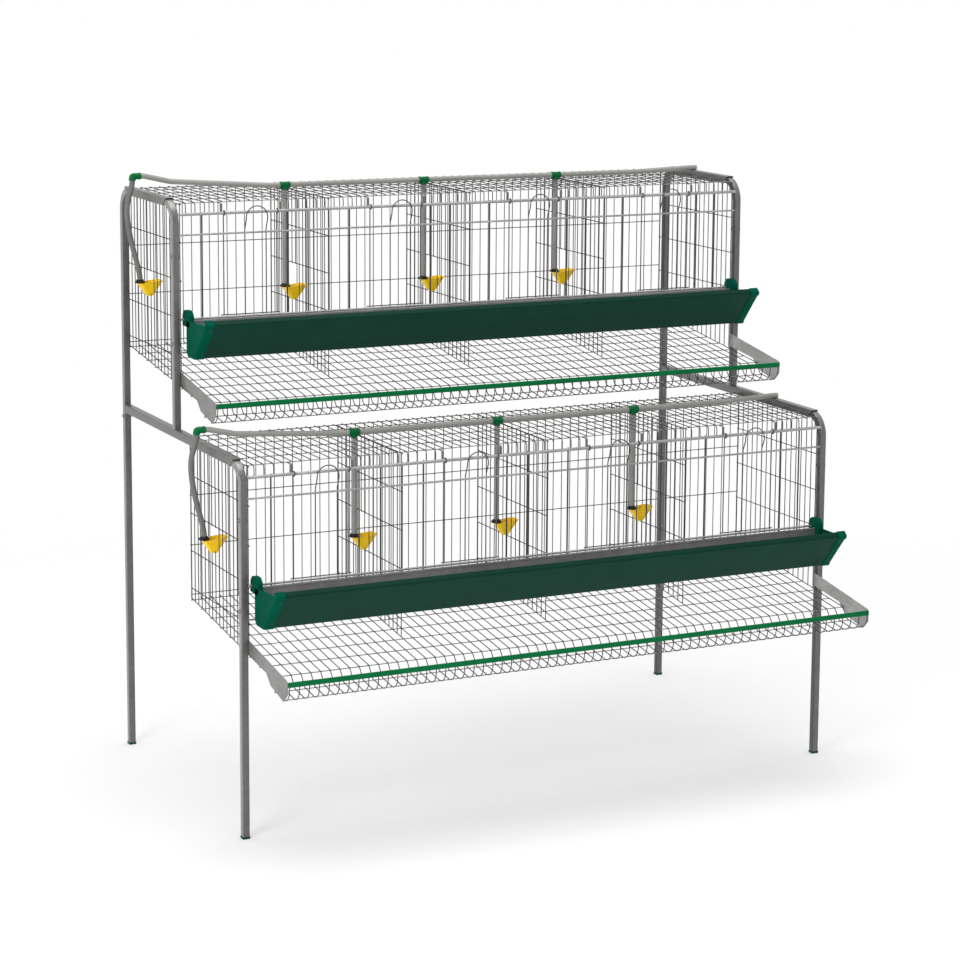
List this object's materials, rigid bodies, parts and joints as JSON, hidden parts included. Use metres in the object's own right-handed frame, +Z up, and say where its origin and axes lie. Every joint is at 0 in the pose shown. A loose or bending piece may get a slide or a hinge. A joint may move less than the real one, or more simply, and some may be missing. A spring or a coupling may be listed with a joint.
{
  "type": "battery cage",
  "caption": "Stepped two-tier wire laying cage on tube legs, with swinging wire doors, hooked feed troughs, egg gutters and cup drinkers",
  "frame": {"origin": "on the floor under the middle of the cage's box, hoses and elbows left out", "axes": "+X to the right along the rows of compartments, +Y from the egg gutters to the back, +Z up"},
  "size_m": [1.6912, 1.1326, 1.5583],
  "materials": {
    "galvanised": "satin zinc",
    "trough_green": "satin",
    "cap_green": "satin",
    "strip_green": "satin",
    "fitting_green": "gloss",
    "pipe_grey": "satin",
    "cup_yellow": "gloss",
    "valve_black": "satin",
    "foot_green": "satin"
  },
  "bodies": {
    "cage": {"left_front_leg": "galvanised", "left_upper_upright": "galvanised", "left_rear_post": "galvanised", "left_cross_rail": "galvanised", "left_top_rail": "galvanised", "right_front_leg": "galvanised", "right_upper_upright": "galvanised", "right_rear_post": "galvanised", "right_cross_rail": "galvanised", "right_top_rail": "galvanised", "foot_plugs": "foot_green", "frame_bolts": "galvanised", "lower_front_rods": "galvanised", "lower_front_bars": "galvanised", "lower_top_clips": "galvanised", "lower_back_panel": "galvanised", "lower_top_panel": "galvanised", "lower_floor_tray": "galvanised", "lower_left_end_panel": "galvanised", "lower_right_end_panel": "galvanised", "lower_partitions": "galvanised", "lower_egg_strip": "strip_green", "lower_tray_plates": "galvanised", "lower_water_pipes": "pipe_grey", "lower_water_tees": "fitting_green", "lower_water_elbow": "fitting_green", "lower_drop_tubes": "pipe_grey", "lower_drinker_valves": "valve_black", "lower_drinker_cups": "cup_yellow", "lower_supply_hose": "pipe_grey", "upper_front_rods": "galvanised", "upper_front_bars": "galvanised", "upper_top_clips": "galvanised", "upper_back_panel": "galvanised", "upper_top_panel": "galvanised", "upper_floor_tray": "galvanised", "upper_left_end_panel": "galvanised", "upper_right_end_panel": "galvanised", "upper_partitions": "galvanised", "upper_egg_strip": "strip_green", "upper_tray_plates": "galvanised", "upper_water_pipes": "pipe_grey", "upper_water_tees": "fitting_green", "upper_water_elbow": "fitting_green", "upper_drop_tubes": "pipe_grey", "upper_drinker_valves": "valve_black", "upper_drinker_cups": "cup_yellow", "upper_supply_hose": "pipe_grey"},
    "lower_trough": {"lower_trough": "trough_green", "lower_trough_caps": "cap_green"},
    "lower_door_1": {"lower_door_1": "galvanised"},
    "lower_door_2": {"lower_door_2": "galvanised"},
    "lower_door_3": {"lower_door_3": "galvanised"},
    "lower_door_4": {"lower_door_4": "galvanised"},
    "upper_trough": {"upper_trough": "trough_green", "upper_trough_caps": "cap_green"},
    "upper_door_1": {"upper_door_1": "galvanised"},
    "upper_door_2": {"upper_door_2": "galvanised"},
    "upper_door_3": {"upper_door_3": "galvanised"},
    "upper_door_4": {"upper_door_4": "galvanised"}
  },
  "joints": [
    {"name": "lower_trough_swing", "type": "hinge", "parent": "cage", "child": "lower_trough", "pos_m": [0.00575, -0.31025, 0.629], "axis": [-1, 0, 0], "range_deg": [0, 60]},
    {"name": "lower_door_1_swing", "type": "hinge", "parent": "cage", "child": "lower_door_1", "pos_m": [-0.60855, -0.31125, 0.893], "axis": [1, 0, 0], "range_deg": [0, 90]},
    {"name": "lower_door_2_swing", "type": "hinge", "parent": "cage", "child": "lower_door_2", "pos_m": [-0.20855, -0.31125, 0.893], "axis": [1, 0, 0], "range_deg": [0, 90]},
    {"name": "lower_door_3_swing", "type": "hinge", "parent": "cage", "child": "lower_door_3", "pos_m": [0.19145, -0.31125, 0.893], "axis": [1, 0, 0], "range_deg": [0, 90]},
    {"name": "lower_door_4_swing", "type": "hinge", "parent": "cage", "child": "lower_door_4", "pos_m": [0.59145, -0.31125, 0.893], "axis": [1, 0, 0], "range_deg": [0, 90]},
    {"name": "upper_trough_swing", "type": "hinge", "parent": "cage", "child": "upper_trough", "pos_m": [0.00575, 0.15175, 1.21], "axis": [-1, 0, 0], "range_deg": [0, 60]},
    {"name": "upper_door_1_swing", "type": "hinge", "parent": "cage", "child": "upper_door_1", "pos_m": [-0.60855, 0.15075, 1.474], "axis": [1, 0, 0], "range_deg": [0, 90]},
    {"name": "upper_door_2_swing", "type": "hinge", "parent": "cage", "child": "upper_door_2", "pos_m": [-0.20855, 0.15075, 1.474], "axis": [1, 0, 0], "range_deg": [0, 90]},
    {"name": "upper_door_3_swing", "type": "hinge", "parent": "cage", "child": "upper_door_3", "pos_m": [0.19145, 0.15075, 1.474], "axis": [1, 0, 0], "range_deg": [0, 90]},
    {"name": "upper_door_4_swing", "type": "hinge", "parent": "cage", "child": "upper_door_4", "pos_m": [0.59145, 0.15075, 1.474], "axis": [1, 0, 0], "range_deg": [0, 90]}
  ]
}
